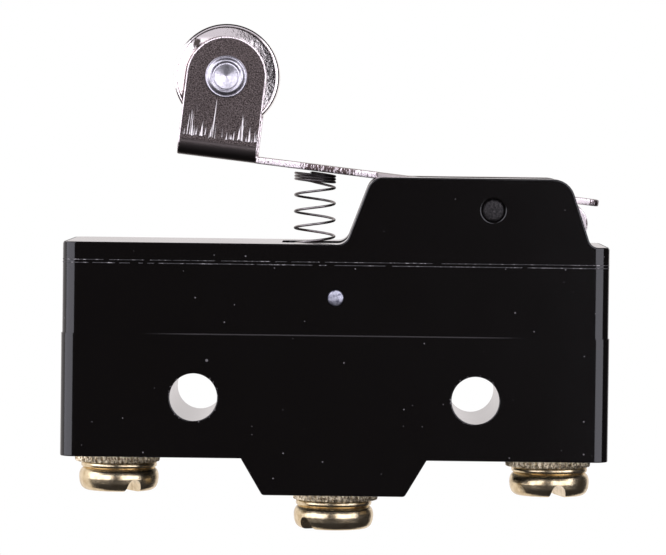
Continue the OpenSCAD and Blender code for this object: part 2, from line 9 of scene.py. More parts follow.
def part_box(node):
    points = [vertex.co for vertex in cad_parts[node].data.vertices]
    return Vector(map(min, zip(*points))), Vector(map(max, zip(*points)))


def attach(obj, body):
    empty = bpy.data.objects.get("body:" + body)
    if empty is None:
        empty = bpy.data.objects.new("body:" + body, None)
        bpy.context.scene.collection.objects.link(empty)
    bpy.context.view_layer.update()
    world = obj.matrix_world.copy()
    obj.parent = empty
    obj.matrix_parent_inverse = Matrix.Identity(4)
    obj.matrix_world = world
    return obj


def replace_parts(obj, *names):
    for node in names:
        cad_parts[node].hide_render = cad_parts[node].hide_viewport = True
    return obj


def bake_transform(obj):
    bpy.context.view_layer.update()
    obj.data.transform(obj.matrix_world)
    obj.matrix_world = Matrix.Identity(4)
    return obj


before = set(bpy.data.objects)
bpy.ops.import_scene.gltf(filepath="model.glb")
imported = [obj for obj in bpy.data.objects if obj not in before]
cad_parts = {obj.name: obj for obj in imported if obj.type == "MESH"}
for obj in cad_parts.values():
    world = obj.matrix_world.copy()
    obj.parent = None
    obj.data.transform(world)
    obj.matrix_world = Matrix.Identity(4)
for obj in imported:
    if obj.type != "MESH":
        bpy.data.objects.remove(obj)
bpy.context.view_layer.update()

# ---- Studio ---------------------------------------------------------------------
# A small dark room with a white backdrop behind the switch, a large soft box on either
# side of the camera, and a pale floor below. A long lens looks at the front face.

mm = 0.001
focal_length, film_width = 226.05, 36
roll = math.radians(0.7)
white = (1, 1, 1, 1)

lens = bpy.data.cameras.new("long_lens")
lens.lens = focal_length
lens.sensor_width = film_width
lens.clip_start = 0.01
lens.clip_end = 20
camera = bpy.data.objects.new("camera", lens)
bpy.context.scene.collection.objects.link(camera)
bpy.context.scene.camera = camera
camera.location = Vector((2.19, -384.3, 24.22)) * mm
aim = Vector((-0.25, -8.725, 10.94)) * mm
looking = (aim - camera.location).to_track_quat("-Z", "Y")
camera.rotation_mode = "QUATERNION"
camera.rotation_quaternion = looking @ Quaternion((0, 0, 1), roll)
bpy.context.scene.view_settings.view_transform = "Standard"


def add(tree, kind, inputs=(), **settings):
    """Adds a shader node. Inputs maps a socket to a value or to another node's output."""
    made = tree.nodes.new("ShaderNode" + kind)
    for key, value in settings.items():
        setattr(made, key, value)
    for key, value in dict(inputs).items():
        if isinstance(value, bpy.types.NodeSocket):
            tree.links.new(value, made.inputs[key])
        else:
            made.inputs[key].default_value = value
    return made


def step(tree, value, low, high):
    """0 below low, 1 above high, and a smooth rise between them."""
    inputs = {"Value": value, "From Min": low, "From Max": high}
    return add(tree, "MapRange", inputs, interpolation_type="SMOOTHSTEP").outputs[0]


def calc(tree, operation, a, b=0.0):
    """One step of arithmetic on two numbers, or on the first alone."""
    return add(tree, "Math", {0: a, 1: b}, operation=operation).outputs[0]


def times(tree, a, b):
    """The product of two numbers."""
    return calc(tree, "MULTIPLY", a, b)


def larger(tree, a, b):
    """The larger of two numbers."""
    return calc(tree, "MAXIMUM", a, b)


def mix(tree, share, a, b):
    """Colour a where share is 0, and colour b where it is 1."""
    return add(tree, "Mix", {0: share, 6: a, 7: b}, data_type="RGBA").outputs[2]


def soft_box(name, azimuth, elevation, wide, high):
    """A square lamp in a given direction from the switch, as wide and high in degrees as it
    appears from there. The camera does not see it."""
    reach, radiance = 0.9, 2.7
    switch_middle = Vector((0, 0, 11 * mm))
    lamp = bpy.data.lights.new(name, "AREA")
    lamp.shape = "RECTANGLE"
    lamp.size = 2 * reach * math.tan(math.radians(wide / 2))
    lamp.size_y = 2 * reach * math.tan(math.radians(high / 2))
    lamp.energy = radiance * math.pi * lamp.size * lamp.size_y
    lamp.color = (0.90, 0.89, 1)
    stand = bpy.data.objects.new(name, lamp)
    bpy.context.scene.collection.objects.link(stand)
    a, e = math.radians(azimuth), math.radians(elevation)
    away = Vector((math.sin(a) * math.cos(e), -math.cos(a) * math.cos(e), math.sin(e)))
    stand.location = switch_middle + reach * away
    stand.rotation_euler = away.to_track_quat("Z", "Y").to_euler()
    stand.visible_camera = False


soft_box("left_soft_box", -55, 20, 74, 60)
soft_box("right_soft_box", 38, 20, 64, 60)

# The camera sees plain white, and the switch mirrors the dark room and its backdrop
room = bpy.data.worlds.new("room")
bpy.context.scene.world = room
room.use_nodes = True
tree = room.node_tree
tree.nodes.clear()
room_dark = (0.03, 0.029, 0.033, 1)
backdrop_white = (0.94, 0.89, 0.89, 1)
backdrop_side = (-0.407, 0.914, 0)
direction = add(tree, "TexCoord").outputs["Generated"]
toward = add(tree, "VectorMath", {0: direction, 1: backdrop_side}, operation="DOT_PRODUCT")
on_backdrop = step(tree, toward.outputs["Value"], 0.40, 0.48)
surround = mix(tree, on_backdrop, room_dark, backdrop_white)
seen = add(tree, "LightPath").outputs["Is Camera Ray"]
light = add(tree, "Background", {"Color": mix(tree, seen, surround, white), "Strength": 1.0})
add(tree, "OutputWorld", {"Surface": light.outputs[0]})

floor_mesh = bpy.data.meshes.new("floor")
reach, level = 350 * mm, -72 * mm
corners = [(-reach, -reach, level), (reach, -reach, level), (reach, reach, level), (-reach, reach, level)]
floor_mesh.from_pydata(corners, [], [(0, 1, 2, 3)])
floor = bpy.data.objects.new("floor", floor_mesh)
bpy.context.scene.collection.objects.link(floor)
pale = bpy.data.materials.new("pale_floor")
pale.use_nodes = True
tree = pale.node_tree
tree.nodes.clear()
path = add(tree, "LightPath").outputs
mirrored = larger(tree, path["Is Glossy Ray"], path["Is Transmission Ray"])
seen = larger(tree, path["Is Camera Ray"], mirrored)
own = add(tree, "Emission", {"Color": white, "Strength": times(tree, seen, 0.62)})
lit = add(tree, "BsdfDiffuse", {"Color": (0.7, 0.7, 0.7, 1)})
both = add(tree, "AddShader", {0: own.outputs[0], 1: lit.outputs[0]})
add(tree, "OutputMaterial", {"Surface": both.outputs[0]})
floor_mesh.materials.append(pale)
floor.visible_glossy = False

# ---- Base -----------------------------------------------------------------------
# Deep tray moulded in gloss black phenolic, with two mounting holes straight through.
# Its edges are slightly broken by tumbling, and a faint mould line, drawn as a painted highlight, crosses
# it half way up.

case_length, case_thk = 49.45 * mm, 17.45 * mm
joint_z, step_z = 12 * mm, 5.66 * mm
hole_x, hole_r = 12.7 * mm, 2.15 * mm
moulding_black = (0.0030, 0.0024, 0.0021, 1)
dust_and_highlight_grey = (0.33, 0.31, 0.31, 1)


def merged_copy(node, name):
    """A CAD node's mesh as one closed surface, with its flat triangles joined into whole faces."""
    form = bmesh.new()
    form.from_mesh(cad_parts[node].data)
    bmesh.ops.remove_doubles(form, verts=form.verts, dist=1e-6)
    bmesh.ops.dissolve_limit(form, angle_limit=math.radians(0.3), verts=form.verts, edges=form.edges)
    mesh = bpy.data.meshes.new(name)
    form.to_mesh(mesh)
    form.free()
    mesh.attributes.remove(mesh.attributes["custom_normal"])
    piece = bpy.data.objects.new(name, mesh)
    bpy.context.scene.collection.objects.link(piece)
    return piece


def read(items, what, width, kind=np.float64):
    """One property of a mesh's vertices, edges or faces as an array."""
    values = np.zeros(len(items) * width, kind)
    items.foreach_get(what, values)
    return values.reshape(-1, width) if width > 1 else values


def ease_edges(piece, width, chosen, segments=3):
    """Rounds the edges sharper than 30 degrees whose middles chosen() keeps. Each edge's two
    faces are found by sorting the corners by edge, and their normals give its angle."""
    mesh = piece.data
    ends = read(mesh.edges, "vertices", 2, np.int32)
    points = read(mesh.vertices, "co", 3)
    normals = read(mesh.polygons, "normal", 3)
    owner = np.repeat(np.arange(len(mesh.polygons)), read(mesh.polygons, "loop_total", 1, np.int32))
    edge = read(mesh.loops, "edge_index", 1, np.int32)
    pairs = owner[np.argsort(edge, kind="stable")].reshape(-1, 2)
    turn = (normals[pairs[:, 0]] * normals[pairs[:, 1]]).sum(1)
    keep = (turn < math.cos(math.radians(30))) & chosen(*points[ends].mean(1).T)
    weight = mesh.attributes.new("bevel_weight_edge", "FLOAT", "EDGE")
    weight.data.foreach_set("value", keep.astype(np.float32))
    bevel = piece.modifiers.new("eased_edges", "BEVEL")
    bevel.limit_method = "WEIGHT"
    bevel.width = width
    bevel.segments = segments
    bevel.use_clamp_overlap = False


def apply_modifiers(piece):
    """Gives a piece the mesh that its modifiers make of it."""
    bpy.context.view_layer.update()
    graph = bpy.context.evaluated_depsgraph_get()
    piece.data = bpy.data.meshes.new_from_object(piece.evaluated_get(graph))
    piece.modifiers.clear()


def settle(piece, angle=35):
    """Smooths a piece, with creases where faces meet at more than the angle. At each corner the
    largest face sets the shading, so flat faces look flat and eased edges look round."""
    apply_modifiers(piece)
    piece.data.shade_smooth()
    piece.data.set_sharp_from_angle(angle=math.radians(angle))
    piece.modifiers.new("level_faces", "WEIGHTED_NORMAL").keep_sharp = True
    apply_modifiers(piece)


def new_finish(name, **sockets):
    """A material whose shader has the given values on its own sockets: returns it, its node tree
    and its shader."""
    made = bpy.data.materials.new(name)
    made.use_nodes = True
    shader = made.node_tree.nodes["Principled BSDF"]
    for key, value in sockets.items():
        shader.inputs[key.replace("_", " ")].default_value = value
    return made, made.node_tree, shader


def feed(shader, socket, pattern):
    """Lets a pattern set one of a shader's values."""
    shader.id_data.links.new(pattern, shader.inputs[socket])


def place(tree, scale=(1, 1, 1), turn=(0, 0, 0), shift=(0, 0, 0)):
    """Object coordinates, turned and scaled for a pattern."""
    at = add(tree, "TexCoord").outputs["Object"]
    inputs = {"Vector": at, "Location": shift, "Rotation": turn, "Scale": scale}
    return add(tree, "Mapping", inputs).outputs[0]


def grain(tree, at, scale, detail=2.0, roughness=0.5):
    """Cloudy noise from 0 to 1, with scale features to the metre."""
    inputs = {"Vector": at, "Scale": scale, "Detail": detail, "Roughness": roughness}
    return add(tree, "TexNoise", inputs).outputs["Fac"]


def fade(tree, value, low, high):
    """1 below low, 0 above high, and a smooth fall between them."""
    return calc(tree, "SUBTRACT", 1, step(tree, value, low, high))


def away_from(tree, value, centre):
    """How far a number lies from a centre, on either side."""
    return calc(tree, "ABSOLUTE", calc(tree, "SUBTRACT", value, centre))


def specks(tree, at, spacing, size, share):
    """Round specks: one point to each cell of a random mesh, drawn as a spot of its own size."""
    cells = add(tree, "TexVoronoi", {"Vector": at, "Scale": 1 / spacing}).outputs
    chance = add(tree, "SeparateColor", {0: cells["Color"]}).outputs[0]
    spot = times(tree, step(tree, chance, 1 - share, 1), size / spacing)
    return step(tree, calc(tree, "SUBTRACT", spot, cells["Distance"]), -0.01, 0.012)


def roughen(tree, shader, height, distance):
    """Bump from a height between 0 and 1 that stands for the given distance."""
    bump = add(tree, "Bump", {"Height": height, "Distance": distance, "Strength": 1.0})
    feed(shader, "Normal", bump.outputs[0])


def black_moulding(name, dulled):
    """Gloss black moulding: a faint flow in its gloss, and specks of pale dust that dull it.
    Returns its material, node tree and shader, and how much the dust lightens each place."""
    made, tree, shader = new_finish(name, IOR=1.5)
    at = place(tree)
    fine = specks(tree, at, 0.9 * mm, 0.075 * mm, 0.45)
    coarse = specks(tree, at, 2.3 * mm, 0.15 * mm, 0.3)
    dust = larger(tree, fine, coarse)
    flow = {"Value": grain(tree, at, 180, 3), "From Min": 0.3, "From Max": 0.7}
    gloss = add(tree, "MapRange", {**flow, "To Min": 0.11, "To Max": 0.125}).outputs[0]
    feed(shader, "Roughness", calc(tree, "ADD", gloss, times(tree, dust, dulled)))
    roughen(tree, shader, grain(tree, at, 900, 3), 0.002 * mm)
    return made, tree, shader, times(tree, dust, 0.3)


base_black, tree, shader, dust = black_moulding("base_black", 0.4)
at = place(tree)
x, y, z = add(tree, "SeparateXYZ", {0: at}).outputs
aside = calc(tree, "ABSOLUTE", x)
# The mould line half way up is a pale painted highlight, standing in for the light caught by its small
# step
on_line = fade(tree, away_from(tree, z, step_z + 0.03 * mm), 0.035 * mm, 0.065 * mm)
mould_line_highlight = times(tree, times(tree, on_line, fade(tree, aside, 12 * mm, 18 * mm)), 0.12)

# Each mounting hole has small chips round its mouth, and walls with less gloss
off_hole = calc(tree, "SUBTRACT", aside, hole_x)
radius = calc(tree, "SQRT", calc(tree, "ADD", times(tree, off_hole, off_hole), times(tree, z, z)))
rim = fade(tree, away_from(tree, radius, hole_r), 0.05 * mm, 0.2 * mm)
depth = calc(tree, "ABSOLUTE", y)
at_face = step(tree, depth, case_thk / 2 - 0.5 * mm, case_thk / 2 - 0.2 * mm)
chips = times(tree, times(tree, rim, at_face), step(tree, grain(tree, at, 4200, 2), 0.6, 0.7))
in_hole = fade(tree, radius, hole_r + 0.02 * mm, hole_r + 0.06 * mm)
feed(shader, "Specular IOR Level", calc(tree, "SUBTRACT", 0.5, times(tree, in_hole, 0.05)))
# Pale marks: the painted highlight of the mould line, and the real chips round the holes
pale_marks = larger(tree, mould_line_highlight, times(tree, chips, 0.7))
feed(shader, "Base Color", mix(tree, larger(tree, dust, pale_marks), moulding_black, dust_and_highlight_grey))

# Only outer edges are eased, and not those at the joint or at the step
base = merged_copy("base", "case_base")
ease_edges(base, 0.1 * mm, lambda x, y, z: (z < joint_z - 0.1 * mm) & (np.abs(z - step_z) > 0.2 * mm)
           & ((np.abs(y) > case_thk / 2 - 0.01 * mm) | (np.abs(x) > 23 * mm)))
settle(base)
base.data.materials.clear()
base.data.materials.append(base_black)
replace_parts(base, "base")
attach(base, "housing")

# ---- Cover ----------------------------------------------------------------------
# Lid moulded in the same black phenolic: a flat plate over the tray, and two ears that
# carry the lever. It drops into the base on a shallow plug and is held by one pin.

cover_black, tree, shader, dust = black_moulding("cover_black", 0.5)
feed(shader, "Base Color", mix(tree, dust, moulding_black, dust_and_highlight_grey))

# Only edges above the joint and outside the channel between the ears are eased
channel_half = 3.7 * mm
cover = merged_copy("cover", "case_cover")
ease_edges(cover, 0.14 * mm, lambda x, y, z: (z > joint_z + 0.2 * mm) & (np.abs(y) > channel_half))
settle(cover)
cover.data.materials.clear()
cover.data.materials.append(cover_black)
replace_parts(cover, "cover")
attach(cover, "housing")

# ---- Joint ----------------------------------------------------------------------
# Where cover meets base, each has a thin ragged fin of moulding flash along the back, the
# left-hand end and the front, worn pale and holding dust. The two lie 0.28 mm apart.

flash_finish, tree, shader = new_finish("worn_flash", Roughness=0.6)
pale_marks = step(tree, grain(tree, place(tree), 3400, 3, 0.7), 0.50, 0.72)
feed(shader, "Base Color", mix(tree, pale_marks, (0.035, 0.033, 0.034, 1), (0.40, 0.38, 0.38, 1)))


def make_piece(name, sheets, body, finish, angle=35, outward=True):
    """One mesh from grids of points in metres. Neighbours in a grid become four-sided faces,
    points in the same place become one, and a face that closes up on itself is left out."""
    points, faces, start = [], [], 0
    for sheet in sheets:
        rows, columns = sheet.shape[:2]
        index = start + np.arange(rows * columns).reshape(rows, columns)
        corners = (index[:-1, :-1], index[1:, :-1], index[1:, 1:], index[:-1, 1:])
        faces.append(np.stack(corners, -1).reshape(-1, 4))
        points.append(sheet.reshape(-1, 3))
        start += rows * columns
    points, faces = np.concatenate(points), np.concatenate(faces)
    cell = np.round(points / 1e-7).astype(np.int64)
    _, first, same = np.unique(cell, axis=0, return_index=True, return_inverse=True)
    rings = [tuple(dict.fromkeys(face)) for face in same.reshape(-1)[faces].tolist()]
    mesh = bpy.data.meshes.new(name)
    mesh.from_pydata(points[first], [], [ring for ring in rings if len(ring) > 2])
    if outward:
        form = bmesh.new()
        form.from_mesh(mesh)
        bmesh.ops.recalc_face_normals(form, faces=form.faces)
        form.to_mesh(mesh)
        form.free()
    mesh.shade_smooth()
    mesh.set_sharp_from_angle(angle=math.radians(angle))
    mesh.materials.append(finish)
    piece = bpy.data.objects.new(name, mesh)
    bpy.context.scene.collection.objects.link(piece)
    if body:
        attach(piece, body)
    return piece


def round_the_case(inset, spacing):
    """Points and outward directions, evenly spaced along a rounded rectangle inset from the case:
    a quarter circle at each corner, joined by straight sides. It runs from the right-hand end's
    back corner round to its front corner, and stops 15 degrees short of the end of that one."""
    half = np.array([case_length, case_thk]) / 2 - inset
    radius = 1.3 * mm
    sides = np.array([[1, 1], [-1, 1], [-1, -1], [1, -1]])
    sweeps = [np.arange(start, end + 1, 5) for start, end in ((0, 90), (90, 180), (180, 270), (270, 345))]
    a = np.radians(np.concatenate(sweeps))
    away = np.stack([np.cos(a), np.sin(a)], 1)
    corner = np.repeat(sides, [len(sweep) for sweep in sweeps], 0) * (half - radius)
    line = corner + radius * away
    along = np.concatenate([[0], np.cumsum(np.linalg.norm(np.diff(line, axis=0), axis=1))])
    evenly = np.linspace(0, along[-1], int(along[-1] / spacing))
    spread = [np.interp(evenly, along, column) for column in (*line.T, *away.T)]
    return np.stack(spread[:2], 1), np.stack(spread[2:], 1)


def smoothed(values, width):
    """Each value of a run averaged with its neighbours over a width, as if its ends met."""
    count = len(values)
    return np.convolve(np.tile(values, 3), np.ones(width) / width, "same")[count:2 * count]


def ragged_fin(z, proud, tall, seed, shyness):
    """A low ridge round the case: its section is half an ellipse, and smoothed chance, less the
    shyness, gives how far it stands out at each place."""
    line, away = round_the_case(0.08 * mm, 0.12 * mm)
    chance = smoothed(smoothed(np.random.default_rng(seed).random(len(line)), 3), 5)
    stand = proud * np.clip((chance - shyness) * 4, -0.3, 1)
    stand[-1] = stand[0]
    t = np.linspace(0, np.pi, 7)
    out = np.sin(t)[None] * stand[:, None] - 0.01 * mm
    drift = 0.02 * mm * (smoothed(chance, 31) - 0.5)
    x = line[:, None, 0] + away[:, None, 0] * out
    y = line[:, None, 1] + away[:, None, 1] * out
    return np.dstack([x, y, z - tall / 2 * np.cos(t)[None] + drift[:, None]])


base_fin = ragged_fin(12.02 * mm, 0.05 * mm, 0.08 * mm, 11, 0.27)
cover_fin = ragged_fin(12.30 * mm, 0.03 * mm, 0.06 * mm, 5, 0.24)
make_piece("joint_flash", [base_fin, cover_fin], "housing", flash_finish, outward=False)

# ---- Cover pin ------------------------------------------------------------------
# Bright steel pin pressed right through base and cover. Its ends were cropped, and are
# scored and slightly crowned.


def turned(profile, facets):
    """A profile of radius and height in mm, carried once round the Z axis: x is the radius
    times the cosine of the turn, y is the radius times its sine, and z is the height."""
    a = np.linspace(0, 2 * np.pi, facets + 1)[:, None]
    a[-1] = 0
    radius, height = np.array(profile, float).T
    return np.stack([radius * np.cos(a), radius * np.sin(a), height + 0 * a], -1)


def both_ends(profile):
    """A profile down to its middle, carried on by its own mirror image."""
    return np.vstack([profile, profile[::-1] * (1, -1)])


def through_y(grid, x, z):
    """A turned grid in mm laid along the Y axis at x and z, its top to the front, in metres."""
    laid = np.stack([grid[..., 0], -grid[..., 2], grid[..., 1]], -1)
    return (laid + np.array([x, 0, z])) * mm


def axis_of(node):
    """The x and z of an axis along Y, and half its piece's length, in mm."""
    low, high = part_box(node)
    return (low.x + high.x) / 2 / mm, (low.z + high.z) / 2 / mm, (high.y - low.y) / 2 / mm


pin_steel, tree, shader = new_finish("scored_pin_steel", Metallic=1.0, Roughness=0.4)
scores = grain(tree, place(tree, (1, 1, 0.12), (0, 0.6, 0)), 9000, 3)
tone = step(tree, grain(tree, place(tree), 2600, 2), 0.35, 0.65)
feed(shader, "Base Color", mix(tree, tone, (0.15, 0.15, 0.19, 1), (0.48, 0.48, 0.54, 1)))
roughen(tree, shader, scores, 0.03 * mm)

pin_x, pin_z, half = axis_of("cover_pin")
pin_r, crown = 0.75, 0.16
t = np.linspace(0, np.pi / 2, 9)
end = np.stack([pin_r * np.sin(t), half - crown + crown * np.cos(t)], 1)
pin = through_y(turned(both_ends(end), 64), pin_x, pin_z)
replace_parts(make_piece("cover_pin_steel", [pin], "housing", pin_steel), "cover_pin")

# ---- Pivot pin ------------------------------------------------------------------
# Hardened steel pin with a dark, grainy scale on its cropped ends, set a little way into the
# ears. The lever swings on it.


def eased(profile, radii, steps=6):
    """A profile with its corners rounded: each corner gives way to the quadratic curve from a
    point a radius before it to a point a radius after it."""
    corners = np.array(profile, float)
    rounded = [corners[:1]]
    t = np.linspace(0, 1, steps + 1)[:, None]
    for before, corner, after, radius in zip(corners, corners[1:], corners[2:], radii):
        start = corner + (before - corner) * min(radius / np.linalg.norm(before - corner), 0.5)
        end = corner + (after - corner) * min(radius / np.linalg.norm(after - corner), 0.5)
        rounded.append((1 - t) ** 2 * start + 2 * t * (1 - t) * corner + t ** 2 * end)
    return np.vstack(rounded + [corners[-1:]])


dark_steel, tree, shader = new_finish("scaled_pivot_steel", Metallic=0.5, Roughness=0.45)
scale_marks = grain(tree, place(tree), 5200, 3, 0.65)
tone = step(tree, scale_marks, 0.35, 0.75)
feed(shader, "Base Color", mix(tree, tone, (0.004, 0.003, 0.003, 1), (0.045, 0.040, 0.040, 1)))
roughen(tree, shader, scale_marks, 0.02 * mm)

pivot_x, pivot_z, half = axis_of("pivot_pin")
pivot_r = 1.05
side = [(0, half), (pivot_r - 0.2, half - 0.02), (pivot_r, half - 0.16), (pivot_r, 0)]
pin = through_y(turned(both_ends(eased(side, (0.2, 0.1))), 72), pivot_x, pivot_z)
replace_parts(make_piece("pivot_pin_steel", [pin], "housing", dark_steel), "pivot_pin")

# ---- Lever ----------------------------------------------------------------------
# One strip of steel, blanked, folded and nickel plated: two plates stand up round the
# roller, two cheeks hang down between the ears. The plating is dark and grainy, bright and
# worn on the blanked edges, and the fold has dragged bright streaks up the plates.

slope = math.radians(6.5)
pivot = Matrix.Rotation(-slope, 3, "Y") @ Vector((pivot_x * mm, 0, pivot_z * mm))
# In mm from the pivot, along the strip and then square to it
plates_end, cheeks_start, cheeks_end = -21.8, -10.85, 8.9
strip_under, strip_top = 1.4, 2.8


def on_strip(tree, scale=(1, 1, 1)):
    """Object coordinates turned so that the strip lies level, with the pivot at the origin."""
    level = place(tree, turn=(0, -slope, 0), shift=tuple(-pivot))
    return add(tree, "Mapping", {"Vector": level, "Scale": scale}).outputs[0]


def facing(tree, axis):
    """How far a surface faces along one of the piece's own axes, from -1 to 1."""
    return add(tree, "SeparateXYZ", {0: add(tree, "TexCoord").outputs["Normal"]}).outputs[axis]


# The plating: grainy on the plates, plain on the strip, and a painted highlight on the sides of the
# cheeks
nickel, tree, shader = new_finish("dark_nickel_plate", Metallic=1.0)
at = on_strip(tree)
along, _, up = add(tree, "SeparateXYZ", {0: at}).outputs
fine = grain(tree, at, 8200, 2, 0.6)
broad = grain(tree, at, 900, 2)
flat = larger(tree, step(tree, up, 2.75 * mm, 3.0 * mm), fade(tree, up, 1.3 * mm, 1.5 * mm))
tone = mix(tree, step(tree, fine, 0.3, 0.7), (0.038, 0.029, 0.027, 1), (0.21, 0.172, 0.162, 1))
tone = mix(tree, flat, (0.20, 0.17, 0.16, 1), tone)
sideways = step(tree, calc(tree, "ABSOLUTE", facing(tree, 1)), 0.1, 0.4)
# Painted highlight: faces of the cheeks that look sideways are coloured near white
cheek_side_highlight = times(tree, step(tree, along, -11.2 * mm, -10.6 * mm), sideways)
tone = mix(tree, cheek_side_highlight, tone, (0.95, 0.88, 0.87, 1))

# The streaks start at a ragged foot, thin out as they climb, and climb higher in some places
one_way = on_strip(tree, (1, 0, 0))
drag = grain(tree, on_strip(tree, (1, 0.3, 0.035)), 6000, 2, 0.6)
far = step(tree, grain(tree, one_way, 620, 1), 0.47, 0.7)
reach = calc(tree, "ADD", 1.5 * mm, times(tree, far, 3.6 * mm))
climb = calc(tree, "DIVIDE", calc(tree, "SUBTRACT", up, 3.2 * mm), reach)
ragged = times(tree, grain(tree, one_way, 2600, 1), 0.8 * mm)
foot = step(tree, calc(tree, "SUBTRACT", up, ragged), 2.9 * mm, 2.96 * mm)
thinned = calc(tree, "SUBTRACT", drag, times(tree, climb, 0.22))
streak = times(tree, step(tree, thinned, 0.46, 0.53), foot)
on_plates = step(tree, times(tree, along, -1), 21 * mm, 21.2 * mm)
streak = times(tree, streak, on_plates)
feed(shader, "Base Color", mix(tree, streak, tone, (1.0, 0.95, 0.93, 1)))
feed(shader, "Roughness", calc(tree, "ADD", 0.34, times(tree, larger(tree, streak, cheek_side_highlight), 0.3)))
pitted = calc(tree, "ADD", times(tree, fine, flat), times(tree, broad, 0.3))
roughen(tree, shader, pitted, 0.022 * mm)

# The blanked edges: torn and bright, browned in one run and on the tail, with painted shade on the faces
# that look down
blanked, tree, shader = new_finish("bright_blanked_edge", Metallic=1.0, Roughness=0.42)
along = add(tree, "SeparateXYZ", {0: on_strip(tree)}).outputs[0]
torn = grain(tree, on_strip(tree, (1, 1, 0.3)), 6500, 3, 0.6)
tail = step(tree, along, 8.0 * mm, 9.0 * mm)
worn_run = times(tree, step(tree, along, -18 * mm, -17.2 * mm), fade(tree, along, -13.4 * mm, -12.2 * mm))
browned = calc(tree, "ADD", times(tree, worn_run, 0.17), times(tree, tail, 0.14))
browned_and_shaded = step(tree, calc(tree, "ADD", torn, browned), 0.55, 0.66)
# Painted shade: faces that look down are darkened
underside_painted_shade = fade(tree, facing(tree, 2), -0.75, -0.35)
browned_and_shaded = larger(tree, browned_and_shaded, times(tree, underside_painted_shade, 0.9))
feed(shader, "Base Color", mix(tree, browned_and_shaded, (1.0, 0.90, 0.90, 1), (0.10, 0.072, 0.068, 1)))
roughen(tree, shader, torn, 0.05 * mm)

# On the flat strip every face that looks sideways or along was cut, and on plates and cheeks
# every face that looks up, down or along, apart from the strip's own two faces between them
lever = merged_copy("lever", "roller_lever")
mesh = lever.data
mesh.materials.clear()
mesh.materials.append(nickel)
mesh.materials.append(blanked)
level = np.array(Matrix.Rotation(-slope, 3, "Y"))
centre = (read(mesh.polygons, "center", 3) - np.array([pivot_x, 0, pivot_z]) * mm) @ level.T / mm
looks = np.abs(read(mesh.polygons, "normal", 3) @ level.T)
along, _, up = centre.T
plain = ((along > plates_end) & (along < cheeks_start)) | (along > cheeks_end)
between = ~plain & (up > strip_under) & (up < strip_top) & (looks[:, 0] < 0.5)
cut = np.where(plain, looks[:, 2] < 0.5, ~between & (looks[:, 1] < 0.5))
mesh.polygons.foreach_set("material_index", cut.astype(np.int32))

# The edges of the rivet's holes and of the pivot's stay sharp
rivet_x, rivet_z, _ = axis_of("roller_axle")
ease_edges(lever, 0.13 * mm, lambda x, y, z: (np.hypot(x / mm - rivet_x, z / mm - rivet_z) > 1.4)
           & (np.hypot(x / mm - pivot_x, z / mm - pivot_z) > 1.3), 2)
lever.modifiers["eased_edges"].material = 1
settle(lever)
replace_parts(lever, "lever")
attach(lever, "lever")

# ---- Roller ---------------------------------------------------------------------
# Turned steel wheel with a dished side, a narrow rim and a chamfer, that spins on the rivet.
# Its side runs a little out of true, is darker over the top, and is oily in one place near the rim.

roller_x, roller_z, _ = axis_of("roller")
roller_r, roller_half, bore_r = 4.81, 2.4, 1.25
mark = (roller_x - 2.77) * mm, 0, (roller_z + 3.05) * mm
# Bump height gained to the metre, which tips the side's shading by 8 degrees
tipped = (-10700, 0, -4200)

roller_steel, tree, shader = new_finish("turned_roller_steel", Metallic=1.0, Roughness=0.1)
at = place(tree)
scuffs = grain(tree, at, 3300, 3, 0.65)
side_on = add(tree, "Mapping", {"Vector": at, "Scale": (1, 0, 1)}).outputs[0]
from_mark = add(tree, "VectorMath", {0: side_on, 1: mark}, operation="DISTANCE").outputs["Value"]
ragged = calc(tree, "ADD", from_mark, times(tree, scuffs, 0.9 * mm))
smear = fade(tree, ragged, 0.7 * mm, 1.15 * mm)
height = add(tree, "SeparateXYZ", {0: at}).outputs[2]
# The upper part of the side is darker, set by height alone
darker_top = times(tree, step(tree, height, (roller_z + 2.9) * mm, (roller_z + 3.7) * mm), 0.72)
scuffed = times(tree, step(tree, scuffs, 0.54, 0.74), 0.75)
soiled_and_darker_top = larger(tree, scuffed, larger(tree, smear, darker_top))
feed(shader, "Base Color", mix(tree, soiled_and_darker_top, (0.86, 0.80, 0.77, 1), (0.035, 0.028, 0.025, 1)))
out_of_true = add(tree, "VectorMath", {0: at, 1: tipped}, operation="DOT_PRODUCT").outputs["Value"]
roughen(tree, shader, calc(tree, "ADD", scuffs, out_of_true), 0.012 * mm)

hub = [(bore_r, 0), (bore_r, roller_half), (2.05, roller_half)]
dish = [(2.3, roller_half - 0.24), (4.5, roller_half - 0.05), (4.56, roller_half)]
rim = [(roller_r - 0.13, roller_half), (roller_r, roller_half - 0.12), (roller_r, 0)]
side = eased(hub + dish + rim, (0.1, 0.1, 0.1, 0.1, 0.03, 0.03, 0.06))
wheel = through_y(turned(both_ends(side), 160), roller_x, roller_z)
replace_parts(make_piece("roller_wheel", [wheel], "roller", roller_steel), "roller")

# ---- Rivet ----------------------------------------------------------------------
# Semi-tubular aluminium rivet through both plates, on which the roller turns. Each end is
# set over in a ring, round a shallow cone with a groove at its foot.

rivet_metal, tree, shader = new_finish("bright_rivet", Metallic=1.0, Roughness=0.36)
marks = grain(tree, place(tree), 4200, 3, 0.6)
tone = step(tree, marks, 0.3, 0.75)
feed(shader, "Base Color", mix(tree, tone, (0.74, 0.72, 0.76, 1), (0.50, 0.48, 0.52, 1)))
roughen(tree, shader, marks, 0.012 * mm)

